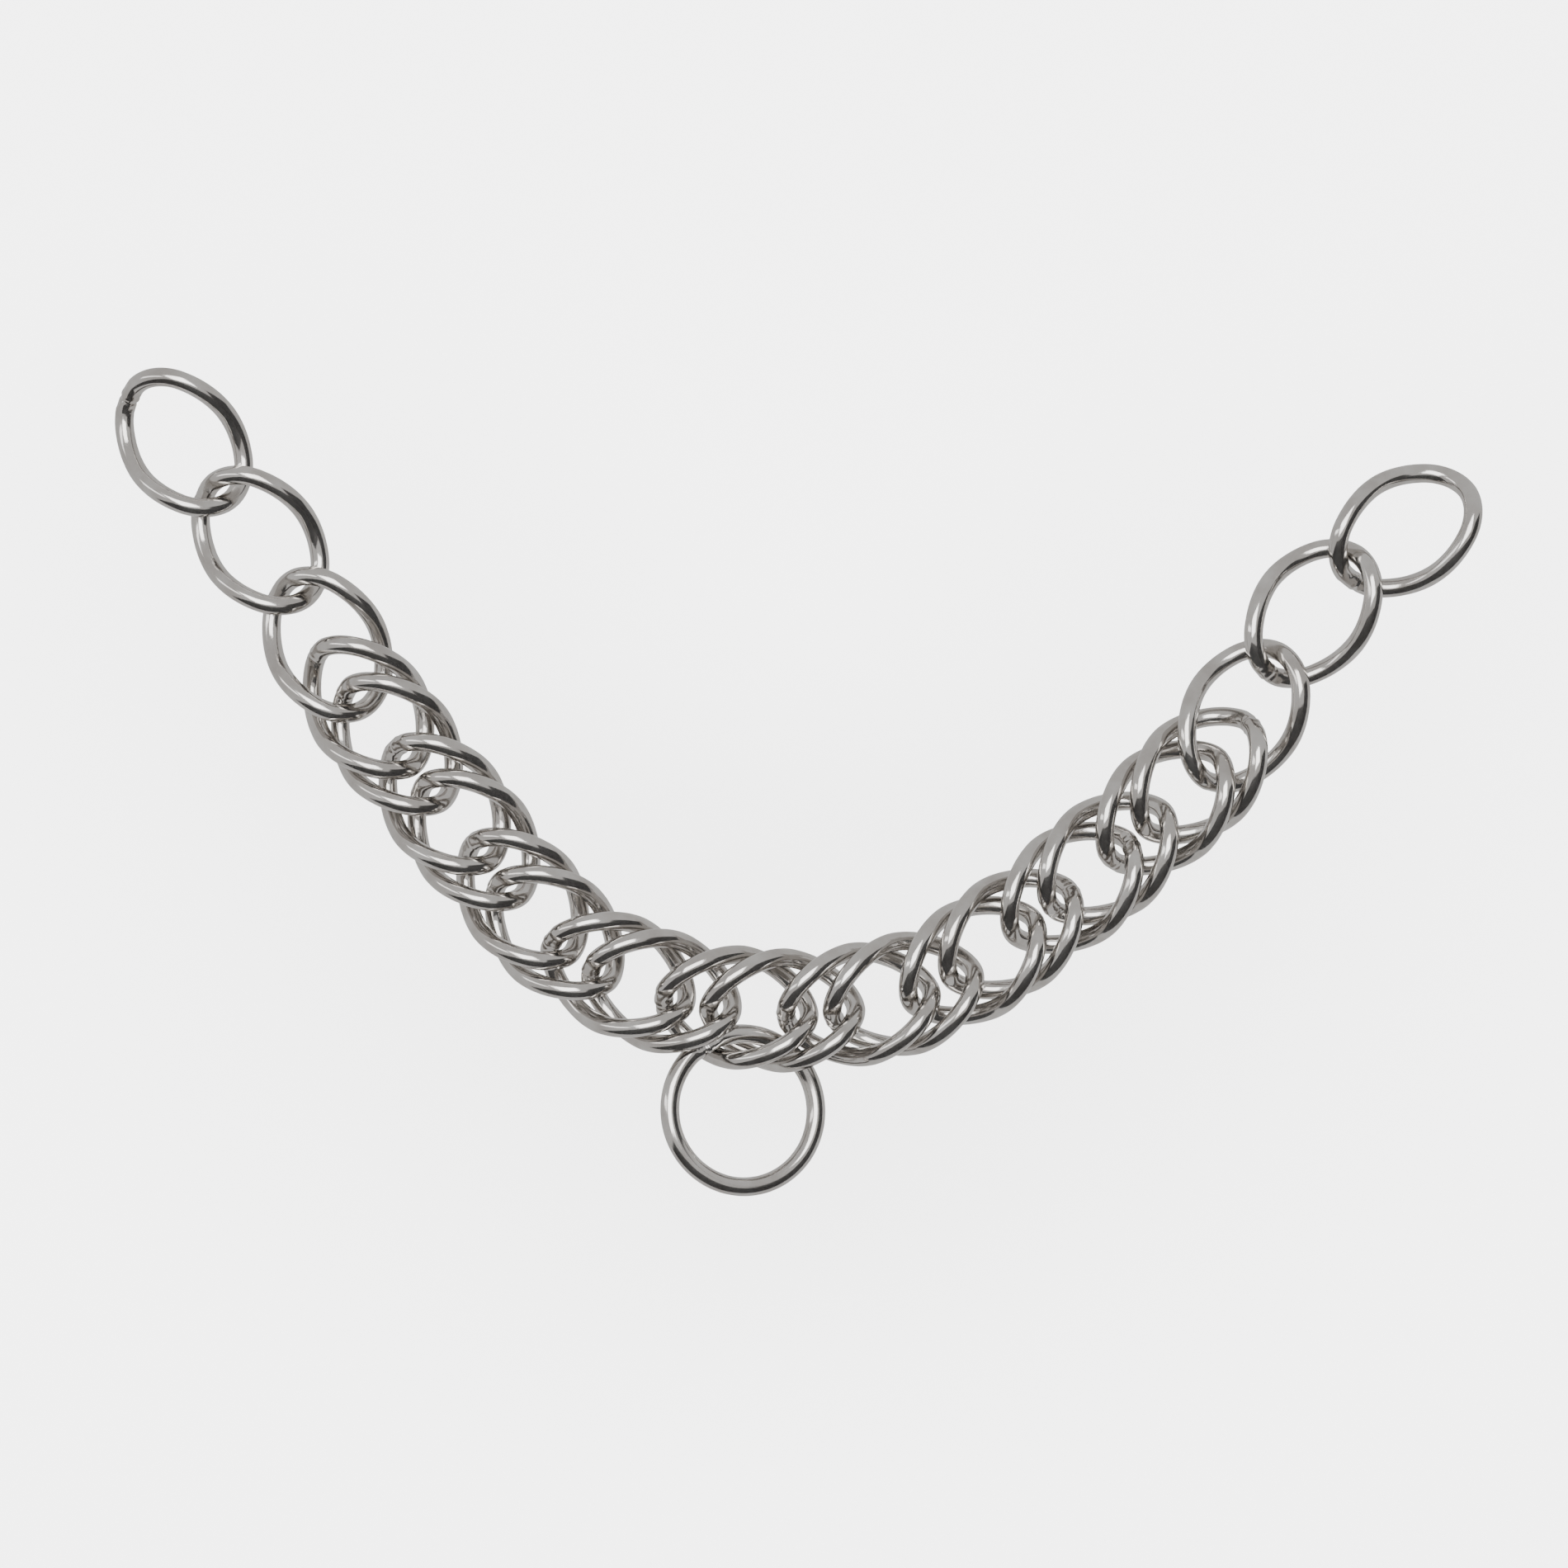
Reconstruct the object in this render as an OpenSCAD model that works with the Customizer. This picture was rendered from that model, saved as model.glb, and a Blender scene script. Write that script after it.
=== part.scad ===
// Double-link curb chain with a fly link.
// Twisted oval links lie flat in a wide V. The three links at each end are woven singly, and the links
// between them doubly: each of those passes through the next two links. A round fly link hangs from the
// middle pair, where a lip strap goes. The model stands on its lowest wires, and X runs along the chain
// from its left end to its right end.

/* [Wire] */
// Wire diameter of the chain links
wire_d = 2.9; // [2.4:0.1:3]
// Wire diameter of the fly link
fly_wire_d = 2.9; // [2.4:0.1:3]
// How much thicker the wire is at the swages where its bends meet
swage = 0.1; // [0.06:0.01:0.12]
// Length of a swage along the wire
swage_l = 0.8; // [0.4:0.1:0.9]

/* [Chain link] */
// Length of a link between the wire centres of its two ends
link_l = 22.4; // [22.2:0.1:22.5]
// Width of a link between the wire centres of its two sides
link_w = 16; // [15:0.1:17]
// Twist of each end of a doubled link out of the link's flat plane
pair_twist = 60; // [58:1:62]
// Slope of the wire at the middle of a doubled link's sides
pair_slope = 46; // [44:1:48]
// Twist of each end of a single link, which needs less room for its neighbours
single_twist = 42; // [40:1:46]
// Slope of the wire at the middle of a single link's sides
single_slope = 34; // [31:1:37]

/* [Chain] */
// End play of one single link in the next
single_play = 0.7; // [0.5:0.1:1]
// End play of one pair of doubled links in the next
pair_play = 0.9; // [0.8:0.1:1]
// Clearance between the ends of the two links of a pair, beyond the play
pair_clearance = 0.3; // [0.3:0.1:0.9]
// Slack where the single links join the doubled links
join_slack = 0.2; // [0.1:0.1:0.4]

/* [Fly link] */
// Diameter of the fly link's wire centre line
fly_d = 23.2; // [22.8:0.1:23.4]

/* [Hidden] */
$fn = 48;

// Number of single links at each end, and of doubled pairs between them
singles = 3;
pairs = 9;
links = 2 * singles + 2 * pairs;
first_double = singles + 1;
last_double = links - singles;

// The link that the rest of the chain is laid out from, and where it lies
middle = 13;
middle_at = [-2.3, -34.6];

// Heading in degrees from +X of the links where the chain's turn changes; the links between them turn evenly
route = [
    [1, -52], [2, -52], [3, -62], [4, -52], [8, -50],
    [9, -42], [10, -25], [11, -17], [12, -8], [13, 0], [14, 9], [15, 17], [16, 34],
    [21, 45], [22, 60], [23, 52], [24, 32]
];

// Where the fly link's centre lies from the middle link, and how it leans on the chain with its low side on the
// ground
fly_offset = [-5.9, -15.1];
fly_lean_heading = 108;
fly_lean = 18.5;
fly_height = fly_d / 2 * sin(fly_lean) + fly_wire_d / 2;

// Names of the links, from the chain's left end to its right end
function link_name(k) =
    k == 1 ? "left_end_link"
    : k == links ? "right_end_link"
    : k < first_double ? str("left_link_", k)
    : k > last_double ? str("right_link_", links + 1 - k)
    : str("pair_link_", pair_number(k), is_first_of_pair(k) ? "a" : "b");
function pair_number(k) = floor((k - first_double) / 2) + 1;
function is_first_of_pair(k) = (k - first_double) % 2 == 0;

// Distances from link to link: the wires of two links that pull on each other lie one wire inside a link's length
single_pitch = link_l - wire_d - single_play;
pair_pitch = link_l - wire_d - pair_play;
pair_gap = 2 * wire_d + pair_play + pair_clearance;
join_pitch = pair_pitch - pair_gap - join_slack;

// Route of the chain: each link's heading, the distance from link k to the next, and each link's centre
function heading(k) = lookup(k, route);
function pitch(k) =
    k < singles || k > last_double ? single_pitch
    : k == singles || k == last_double ? join_pitch
    : is_first_of_pair(k) ? pair_gap
    : pair_pitch - pair_gap;
function step(k) =
    let (a = (heading(k) + heading(k + 1)) / 2)
    pitch(k) * [cos(a), sin(a)];
function centre(k) =
    k == middle ? middle_at
    : k > middle ? centre(k - 1) + step(k - 1)
    : centre(k + 1) - step(k);

// A link's centre line has four equal quarters. Each runs from the middle of an end to the middle of a side
// as two arcs that meet smoothly.
function is_single(k) = k < first_double || k > last_double;
function twist(k) = is_single(k) ? single_twist : pair_twist;
function slope(k) = is_single(k) ? single_slope : pair_slope;
function unit(v) = v / norm(v);
end_mid = [link_l / 2, 0, 0];
side_mid = [0, link_w / 2, 0];
reach = side_mid - end_mid;
function end_dir(k) = [0, cos(twist(k)), -sin(twist(k))];
function side_dir(k) = [-cos(slope(k)), 0, sin(slope(k))];
function spread(k) = 2 * (1 - end_dir(k) * side_dir(k));
function handle(k) =
    let (ahead = reach * (end_dir(k) + side_dir(k)))
    (sqrt(ahead ^ 2 + spread(k) * reach * reach) - ahead) / spread(k);
function end_handle(k) = end_mid + handle(k) * end_dir(k);
function side_handle(k) = side_mid - handle(k) * side_dir(k);
function meet(k) = (end_handle(k) + side_handle(k)) / 2;
function meet_dir(k) = unit(side_handle(k) - end_handle(k));

// The arc that leaves p along dir and ends at q: the direction to its centre, its radius and its centre
function arc_inward(p, dir, q) = unit(q - p - ((q - p) * dir) * dir);
function arc_radius(p, dir, q) = (q - p) * (q - p) / (2 * (q - p) * arc_inward(p, dir, q));
function arc_centre(p, dir, q) = p + arc_radius(p, dir, q) * arc_inward(p, dir, q);
function arc_angle(p, dir, q) = 2 * acos((q - p) * dir / norm(q - p));
function arc_axis(p, dir, q) = cross(-arc_inward(p, dir, q), dir);

// The lowest wire of a link is on the arcs at its ends, and it rests on the ground
function lowest(k) =
    let (axis = arc_axis(end_mid, end_dir(k), meet(k)))
    arc_centre(end_mid, end_dir(k), meet(k))[2]
        - arc_radius(end_mid, end_dir(k), meet(k)) * sqrt(1 - axis[2] ^ 2);
function link_height(k) = wire_d / 2 - lowest(k);

// Wire bent along the arc that leaves p along dir and ends at q
module wire_arc(p, dir, q) {
    x = -arc_inward(p, dir, q);
    z = arc_axis(p, dir, q);
    c = arc_centre(p, dir, q);
    multmatrix([
        [x[0], dir[0], z[0], c[0]],
        [x[1], dir[1], z[1], c[1]],
        [x[2], dir[2], z[2], c[2]],
        [0, 0, 0, 1]
    ])
        rotate_extrude(angle = arc_angle(p, dir, q))
            translate([arc_radius(p, dir, q), 0])
                circle(d = wire_d);
}

// Swage that joins two bends at p, where the wire runs along dir
module wire_swage(p, dir) {
    translate(p)
        rotate([0, acos(dir[2]), atan2(dir[1], dir[0])])
            cylinder(d = wire_d + swage, h = swage_l, center = true);
}

module link_quarter(k) {
    wire_arc(end_mid, end_dir(k), meet(k));
    wire_arc(side_mid, -side_dir(k), meet(k));
    wire_swage(meet(k), meet_dir(k));
}

module link_half(k) {
    link_quarter(k);
    rotate([0, 180, 0]) link_quarter(k);
    wire_swage(side_mid, side_dir(k));
    wire_swage(end_mid, end_dir(k));
}

module twisted_link(k) {
    link_half(k);
    rotate([0, 0, 180]) link_half(k);
}

module chain_link(k) {
    color("silver")
        translate([centre(k)[0], centre(k)[1], link_height(k)])
            rotate([0, 0, heading(k)])
                twisted_link(k);
}

module fly_link() {
    color("silver")
        translate([middle_at[0] + fly_offset[0], middle_at[1] + fly_offset[1], fly_height])
            rotate([0, 0, fly_lean_heading])
                rotate([fly_lean, 0, 0])
                    rotate_extrude()
                        translate([fly_d / 2, 0])
                            circle(d = fly_wire_d);
}

for (k = [1 : links]) chain_link(k);
fly_link();
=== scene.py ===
# A double-link curb chain of polished stainless steel, lying flat and seen from straight above.
import math

import bpy
from mathutils import Matrix, Quaternion, Vector, noise


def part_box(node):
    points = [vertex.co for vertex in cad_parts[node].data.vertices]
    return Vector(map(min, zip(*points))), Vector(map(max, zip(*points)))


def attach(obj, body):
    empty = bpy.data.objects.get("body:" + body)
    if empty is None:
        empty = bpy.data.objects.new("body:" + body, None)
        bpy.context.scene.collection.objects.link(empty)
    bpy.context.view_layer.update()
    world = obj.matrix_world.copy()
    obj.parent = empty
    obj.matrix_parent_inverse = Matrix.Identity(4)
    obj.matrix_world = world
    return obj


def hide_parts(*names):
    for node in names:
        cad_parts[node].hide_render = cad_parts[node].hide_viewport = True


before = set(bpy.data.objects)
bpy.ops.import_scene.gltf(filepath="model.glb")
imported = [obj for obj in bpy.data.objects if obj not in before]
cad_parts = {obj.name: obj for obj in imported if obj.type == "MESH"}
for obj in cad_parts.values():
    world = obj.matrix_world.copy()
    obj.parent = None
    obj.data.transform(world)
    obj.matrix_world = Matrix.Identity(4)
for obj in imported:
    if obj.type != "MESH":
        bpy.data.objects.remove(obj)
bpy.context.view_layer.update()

MM = 0.001

# The wire and the shape of a link, in metres and radians
WIRE = 2.9 * MM
LINK_LENGTH = 22.4 * MM
LINK_WIDTH = 16 * MM
PAIR_TWIST, PAIR_SLOPE = math.radians(60), math.radians(46)
SINGLE_TWIST, SINGLE_SLOPE = math.radians(42), math.radians(34)
FLY_DIAMETER = 23.2 * MM

# Cross-sections along a wire, and points round each of them
WIRE_RINGS = 240
WIRE_SIDES = 24

# A weld: its length, how far it is pressed and how that varies, and the groove and the ridge across it.
# Depths and heights are shares of the wire's radius; places are along the wire from the weld's middle.
WELD_LENGTH = 4 * MM
WELD_FLATS = 3
WELD_EDGE = 0.8 * MM
WELD_PRESS = 0.11
WELD_PRESS_CHANGE = 0.07
WELD_PRESS_GRAIN = 1.1 * MM
GROOVE_AT, GROOVE_HALF_WIDTH, GROOVE_DEPTH = 0.45 * MM, 0.1 * MM, 0.09
RIDGE_AT, RIDGE_HALF_WIDTH, RIDGE_HEIGHT = -0.15 * MM, 0.15 * MM, 0.06
LINE_EDGE = 0.3 * MM

# The wire is straighter for this share of a weld's length to either side of it, by this share at roughness 1
STRAIGHT_REACH = 0.6
STRAIGHT_SHARE = 0.35

# The camera's distance above the chain, the width it sees there, and the point it looks at
CAMERA_DISTANCE = 1.2
CAMERA_WIDTH = 237.5 * MM
CAMERA_POINT = (-2.0 * MM, -0.3 * MM, 5 * MM)

# The floor lies lower than the arms and the fly link reach at any limit, so that it hides none of them
FLOOR_SIZE = 6
FLOOR_DROP = 75 * MM

# Each link's pattern of weld and steel is moved on from the last one's by this much; the fly link has its own
LINK_SEED = 1.7
FLY_WELD_SEED = 3.7
FLY_STEEL_SEED = 60

# Where each weld lies, as a share of the way round, and how rough it is. A link's share counts from its
# right-hand end, and the fly link's from its low side.
FLY_WELD = (0.29, 1.6)
WELDS = {
    "left_end_link": (0.54, 1.0),
    "left_link_2": (0.56, 0.9),
    "left_link_3": (0.57, 0.5),
    "pair_link_1a": (0.52, 0.4),
    "pair_link_1b": (0.53, 0.3),
    "pair_link_2a": (0.49, 0.9),
    "pair_link_2b": (0.55, 0.4),
    "pair_link_3a": (0.49, 0.5),
    "pair_link_3b": (0.52, 0.4),
    "pair_link_4a": (0.49, 1.0),
    "pair_link_4b": (0.50, 0.9),
    "pair_link_5a": (0.51, 1.1),
    "pair_link_5b": (0.54, 0.4),
    "pair_link_6a": (0.49, 1.2),
    "pair_link_6b": (0.52, 0.7),
    "pair_link_7a": (0.55, 0.3),
    "pair_link_7b": (0.99, 0.6),
    "pair_link_8a": (0.98, 0.7),
    "pair_link_8b": (0.50, 0.8),
    "pair_link_9a": (0.51, 0.6),
    "pair_link_9b": (0.99, 1.1),
    "right_link_3": (0.54, 0.6),
    "right_link_2": (0.50, 0.8),
    "right_end_link": (0.55, 0.6),
}


# ---- Centre lines ---------------------------------------------------------------------------------------

def arc(start, direction, end, steps):
    """Points along the arc that leaves start along direction and ends at end, without the end itself."""
    chord = end - start
    side = (chord - chord.dot(direction) * direction).normalized()
    radius = chord.length_squared / (2 * chord.dot(side))
    angle = 2 * chord.angle(direction)
    turns = [angle * i / steps for i in range(steps)]
    return [start + radius * ((1 - math.cos(t)) * side + math.sin(t) * direction) for t in turns]


def twisted_oval(twist, slope, steps=12):
    """A link's centre line: four equal quarters of two smoothly joined arcs each, from its right-hand end."""
    end = Vector((LINK_LENGTH / 2, 0, 0))
    end_way = Vector((0, math.cos(twist), -math.sin(twist)))
    side = Vector((0, LINK_WIDTH / 2, 0))
    side_way = Vector((-math.cos(slope), 0, math.sin(slope)))
    reach = side - end
    ways = end_way + side_way
    spread = 2 * (1 - end_way.dot(side_way))
    handle = (math.sqrt(reach.dot(ways) ** 2 + spread * reach.length_squared) - reach.dot(ways)) / spread
    meet = (end + handle * end_way + side - handle * side_way) / 2
    first = arc(end, end_way, meet, steps)
    second = [meet] + arc(side, -side_way, meet, steps)[:0:-1]
    quarter = first + second
    half = quarter + [side] + [Vector((-p.x, p.y, -p.z)) for p in quarter[:0:-1]]
    return half + [Vector((-p.x, -p.y, p.z)) for p in half]


def circle(diameter, steps=96):
    """A circle in the XY plane."""
    turns = [2 * math.pi * i / steps for i in range(steps)]
    return [diameter / 2 * Vector((math.cos(t), math.sin(t), 0)) for t in turns]


# ---- Wire -----------------------------------------------------------------------------------------------

def length_of(points):
    """Length of the closed line through points."""
    return sum((points[i] - points[i - 1]).length for i in range(len(points)))


def spread_evenly(points, count):
    """count points at equal steps along the closed line through points."""
    lengths = [(points[(i + 1) % len(points)] - p).length for i, p in enumerate(points)]
    step = sum(lengths) / count
    result = []
    i = 0
    gone = 0.0
    for n in range(count):
        while gone + lengths[i] < n * step:
            gone += lengths[i]
            i += 1
        share = (n * step - gone) / lengths[i]
        result.append(points[i].lerp(points[(i + 1) % len(points)], share))
    return result


def rings_of(points):
    """A pair of cross-section axes for each point of a closed line, which turn as little as they can."""
    count = len(points)
    ways = [(points[(i + 1) % count] - points[i - 1]).normalized() for i in range(count)]
    out = ways[0].orthogonal().normalized()
    outs = []
    for i in range(count):
        outs.append(out)
        turn = ways[i].rotation_difference(ways[(i + 1) % count])
        out = (turn @ out).normalized()
    slip = outs[0].angle(out)
    if outs[0].cross(out).dot(ways[0]) > 0:
        slip = -slip
    axes = []
    for i, (way, out) in enumerate(zip(ways, outs)):
        out = Quaternion(way, slip * i / count) @ out
        axes.append((out, way.cross(out)))
    return axes


def bump(distance, half_width, edge):
    """1 within half_width of 0, and 0 further than edge outside it, with a smooth step between."""
    t = min(max((half_width + edge - abs(distance)) / edge, 0), 1)
    return t * t * (3 - 2 * t)


def weld_change(distance, angle, rough, seed):
    """How much a weld changes the wire's radius: pressed flats round the wire, with a groove and a ridge."""
    near = bump(distance, (WELD_LENGTH - WELD_EDGE) / 2, WELD_EDGE)
    pressed = WELD_PRESS + WELD_PRESS_CHANGE * noise.noise(Vector((seed, distance / WELD_PRESS_GRAIN, 0)))
    flats = near * max(0, math.cos(WELD_FLATS * (angle - seed)))
    groove = bump(distance - GROOVE_AT, GROOVE_HALF_WIDTH, LINE_EDGE)
    ridge = bump(distance - RIDGE_AT, RIDGE_HALF_WIDTH, LINE_EDGE)
    return rough * WIRE / 2 * (-pressed * flats - GROOVE_DEPTH * groove + RIDGE_HEIGHT * ridge)


def pressed_straight(points, weld_at, rough):
    """points, evenly spread, with the stretch at the weld pressed part of the way to a straight line."""
    count = len(points)
    middle_point = round(weld_at * count)
    reach = round(STRAIGHT_REACH * WELD_LENGTH / length_of(points) * count)
    first, last = points[middle_point - reach], points[(middle_point + reach) % count]
    result = list(points)
    for i in range(-reach, reach + 1):
        n = (middle_point + i) % count
        on_line = first.lerp(last, (i + reach) / (2 * reach))
        result[n] = points[n].lerp(on_line, STRAIGHT_SHARE * rough)
    return result


def wire_ring(name, points, weld, seed):
    """A closed wire along points, welded once, with its length and girth in millimetres as UV coordinates."""
    weld_at, rough = weld
    rings, sides = WIRE_RINGS, WIRE_SIDES
    points = pressed_straight(spread_evenly(points, rings), weld_at, rough)
    axes = rings_of(points)
    length = length_of(points)
    verts = []
    for i, (p, (out, up)) in enumerate(zip(points, axes)):
        away = (i / rings - weld_at + 0.5) % 1 - 0.5
        for j in range(sides):
            angle = 2 * math.pi * j / sides
            radius = WIRE / 2 + weld_change(away * length, angle, rough, seed)
            verts.append(p + radius * (math.cos(angle) * out + math.sin(angle) * up))
    faces = []
    for i in range(rings):
        for j in range(sides):
            a, b = i * sides, ((i + 1) % rings) * sides
            faces.append((a + j, b + j, b + (j + 1) % sides, a + (j + 1) % sides))
    mesh = bpy.data.meshes.new(name)
    mesh.from_pydata(verts, [], faces)
    uv = mesh.uv_layers.new(name="along")
    for face in mesh.polygons:
        i, j = divmod(face.index, sides)
        corners = ((i, j), (i + 1, j), (i + 1, j + 1), (i, j + 1))
        for loop, (u, v) in zip(face.loop_indices, corners):
            uv.data[loop].uv = (u / rings * length / MM, v / sides * math.pi * WIRE / MM)
    mesh.polygons.foreach_set("use_smooth", [True] * len(mesh.polygons))
    piece = bpy.data.objects.new(name, mesh)
    bpy.context.scene.collection.objects.link(piece)
    return piece


# ---- Pieces ---------------------------------------------------------------------------------------------

def middle(node):
    """The middle of a CAD node's box."""
    low, high = (Vector(corner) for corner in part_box(node))
    return (low + high) / 2


def heading_of(node):
    """The direction of a link's long axis in the XY plane, from its CAD node: -90 to 90 degrees from +X."""
    centre = middle(node)
    offsets = [v.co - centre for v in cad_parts[node].data.vertices]
    xx = sum(o.x * o.x for o in offsets)
    yy = sum(o.y * o.y for o in offsets)
    xy = sum(o.x * o.y for o in offsets)
    return math.atan2(2 * xy, xx - yy) / 2


def stand_in(piece, node, material):
    """piece, already in place, stands for a CAD node of the same body and gets its looks."""
    piece.data.materials.append(material)
    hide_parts(node)
    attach(piece, node)


def chain_link(node, seed, material):
    """A link's welded wire, where its CAD node lies."""
    place = Matrix.Translation(middle(node)) @ Matrix.Rotation(heading_of(node), 4, "Z")
    shape = (PAIR_TWIST, PAIR_SLOPE) if node.startswith("pair") else (SINGLE_TWIST, SINGLE_SLOPE)
    points = [place @ p for p in twisted_oval(*shape)]
    stand_in(wire_ring(node + "_wire", points, WELDS[node], seed), node, material)


def fly_link(seed, material):
    """The fly link's welded ring, which leans as its CAD node does."""
    centre = middle("fly_link")
    offsets = [v.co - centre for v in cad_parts["fly_link"].data.vertices]
    lowest = min(offsets, key=lambda o: o.z)
    low = Vector((lowest.x, lowest.y, 0)).normalized()
    tilt = math.asin((-lowest.z - WIRE / 2) / (FLY_DIAMETER / 2))
    down = (low * math.cos(tilt) - Vector((0, 0, 1)) * math.sin(tilt)).normalized()
    across = Vector((0, 0, 1)).cross(low)
    place = Matrix((down, across, down.cross(across))).transposed().to_4x4()
    points = [centre + place @ p for p in circle(FLY_DIAMETER)]
    stand_in(wire_ring("fly_link_wire", points, FLY_WELD, seed), "fly_link", material)


# ---- Materials ------------------------------------------------------------------------------------------

def new_material(name):
    """A material with its Principled shader, and its node tree."""
    material = bpy.data.materials.new(name)
    material.use_nodes = True
    return material, material.node_tree.nodes["Principled BSDF"], material.node_tree


def add_node(tree, kind, values):
    """A new shader node with values on its input sockets."""
    node = tree.nodes.new(kind)
    for socket, value in values.items():
        node.inputs[socket].default_value = value
    return node


def polished_steel(name, seed):
    """Stainless steel wire, tumbled bright: a warm tint that varies, fine scratches, a slightly wavy face."""
    material, steel, tree = new_material(name)
    steel.inputs["Metallic"].default_value = 1.0
    link = tree.links.new

    place = tree.nodes.new("ShaderNodeTexCoord")
    shift = add_node(tree, "ShaderNodeMapping", {"Location": (seed, 2 * seed, 0)})
    link(place.outputs["Object"], shift.inputs["Vector"])

    cloud = add_node(tree, "ShaderNodeTexNoise", {"Scale": 220, "Detail": 5})
    link(shift.outputs["Vector"], cloud.inputs["Vector"])
    tint = tree.nodes.new("ShaderNodeValToRGB")
    dark, light = tint.color_ramp.elements
    dark.position, dark.color = 0.3, (0.50, 0.475, 0.45, 1)
    light.position, light.color = 0.7, (0.66, 0.645, 0.625, 1)
    link(cloud.outputs["Fac"], tint.inputs["Fac"])
    link(tint.outputs["Color"], steel.inputs["Base Color"])

    along = tree.nodes.new("ShaderNodeUVMap")
    along.uv_map = "along"
    stretch = add_node(tree, "ShaderNodeMapping", {"Location": (seed, seed, 0), "Scale": (0.25, 9, 1)})
    link(along.outputs["UV"], stretch.inputs["Vector"])
    scratches = add_node(tree, "ShaderNodeTexNoise", {"Scale": 3, "Detail": 6, "Roughness": 0.7})
    link(stretch.outputs["Vector"], scratches.inputs["Vector"])

    dull = add_node(tree, "ShaderNodeMapRange",
                    {"From Min": 0.35, "From Max": 0.75, "To Min": 0.07, "To Max": 0.18})
    link(scratches.outputs["Fac"], dull.inputs["Value"])
    link(dull.outputs["Result"], steel.inputs["Roughness"])

    waves = add_node(tree, "ShaderNodeTexNoise", {"Scale": 300, "Detail": 1})
    link(shift.outputs["Vector"], waves.inputs["Vector"])
    wavy = add_node(tree, "ShaderNodeBump", {"Strength": 0.25, "Distance": 0.05 * MM})
    link(waves.outputs["Fac"], wavy.inputs["Height"])
    scratched = add_node(tree, "ShaderNodeBump", {"Strength": 0.35, "Distance": 0.01 * MM})
    link(scratches.outputs["Fac"], scratched.inputs["Height"])
    link(wavy.outputs["Normal"], scratched.inputs["Normal"])
    link(scratched.outputs["Normal"], steel.inputs["Normal"])
    return material


def matt_grey(name, grey, roughness):
    """One even grey, for the stage only."""
    material, shader, _ = new_material(name)
    shader.inputs["Base Color"].default_value = (grey, grey, grey, 1)
    shader.inputs["Roughness"].default_value = roughness
    return material


# ---- Stage ----------------------------------------------------------------------------------------------

def floor():
    """A pale floor, which the steel doesn't reflect."""
    bpy.ops.mesh.primitive_plane_add(size=FLOOR_SIZE, location=(0, 0, -FLOOR_DROP))
    plane = bpy.context.object
    plane.name = "floor"
    plane.visible_glossy = False
    plane.data.materials.append(matt_grey("pale_floor", 0.93, 0.9))


def soft_light(name, place, size, power, reflected=True):
    """A soft box at place that shines at the chain; one that isn't reflected only lights the floor."""
    data = bpy.data.lights.new(name, "AREA")
    data.shape = "RECTANGLE"
    data.size, data.size_y = size
    data.energy = power
    light = bpy.data.objects.new(name, data)
    light.location = place
    light.rotation_euler = (-Vector(place)).to_track_quat("-Z", "Y").to_euler()
    light.visible_glossy = reflected
    bpy.context.scene.collection.objects.link(light)


def dark_card(name, foot, way, width, height):
    """An upright black card beside the chain, which only shows as the dark bands in the steel."""
    half = width / 2 * Vector(way).normalized()
    foot = Vector(foot)
    up = Vector((0, 0, height))
    mesh = bpy.data.meshes.new(name)
    mesh.from_pydata([foot - half, foot + half, up + foot + half, up + foot - half], [], [(0, 1, 2, 3)])
    card = bpy.data.objects.new(name, mesh)
    card.data.materials.append(matt_grey("black_card", 0.015, 1.0))
    card.visible_camera = False
    card.visible_diffuse = False
    card.visible_shadow = False
    bpy.context.scene.collection.objects.link(card)


def lights():
    """A soft box overhead and a strip at the left for the streaks, and a fill that only lights the floor."""
    soft_light("top_box", (-0.1, 0.35, 1.5), (1.1, 1.0), 18)
    soft_light("side_strip", (-1.2, 0.25, 0.9), (0.25, 1.0), 2)
    soft_light("fill", (0, 0.3, 2.6), (3.5, 3.5), 500, reflected=False)
    dark_card("front_card", (0.3, -1.25, 0.05), (1, 0, 0), 4.5, 3.2)
    dark_card("right_card", (1.5, -0.4, 0.05), (0.2, 1, 0), 1.9, 2.0)
    world = bpy.context.scene.world or bpy.data.worlds.new("studio")
    bpy.context.scene.world = world
    world.use_nodes = True
    sky = world.node_tree.nodes["Background"]
    sky.inputs["Color"].default_value = (0.8, 0.79, 0.78, 1)
    sky.inputs["Strength"].default_value = 0.9


def camera():
    """A long lens straight above the chain."""
    data = bpy.data.cameras.new("camera")
    data.lens = data.sensor_width * CAMERA_DISTANCE / CAMERA_WIDTH
    view = bpy.data.objects.new("camera", data)
    view.location = Vector(CAMERA_POINT) + Vector((0, 0, CAMERA_DISTANCE))
    bpy.context.scene.collection.objects.link(view)
    bpy.context.scene.camera = view


camera()
floor()
lights()
for number, node in enumerate(WELDS):
    chain_link(node, LINK_SEED * number, polished_steel(f"steel_{number + 1}", LINK_SEED * number))
fly_link(FLY_WELD_SEED, polished_steel("steel_fly", FLY_STEEL_SEED))
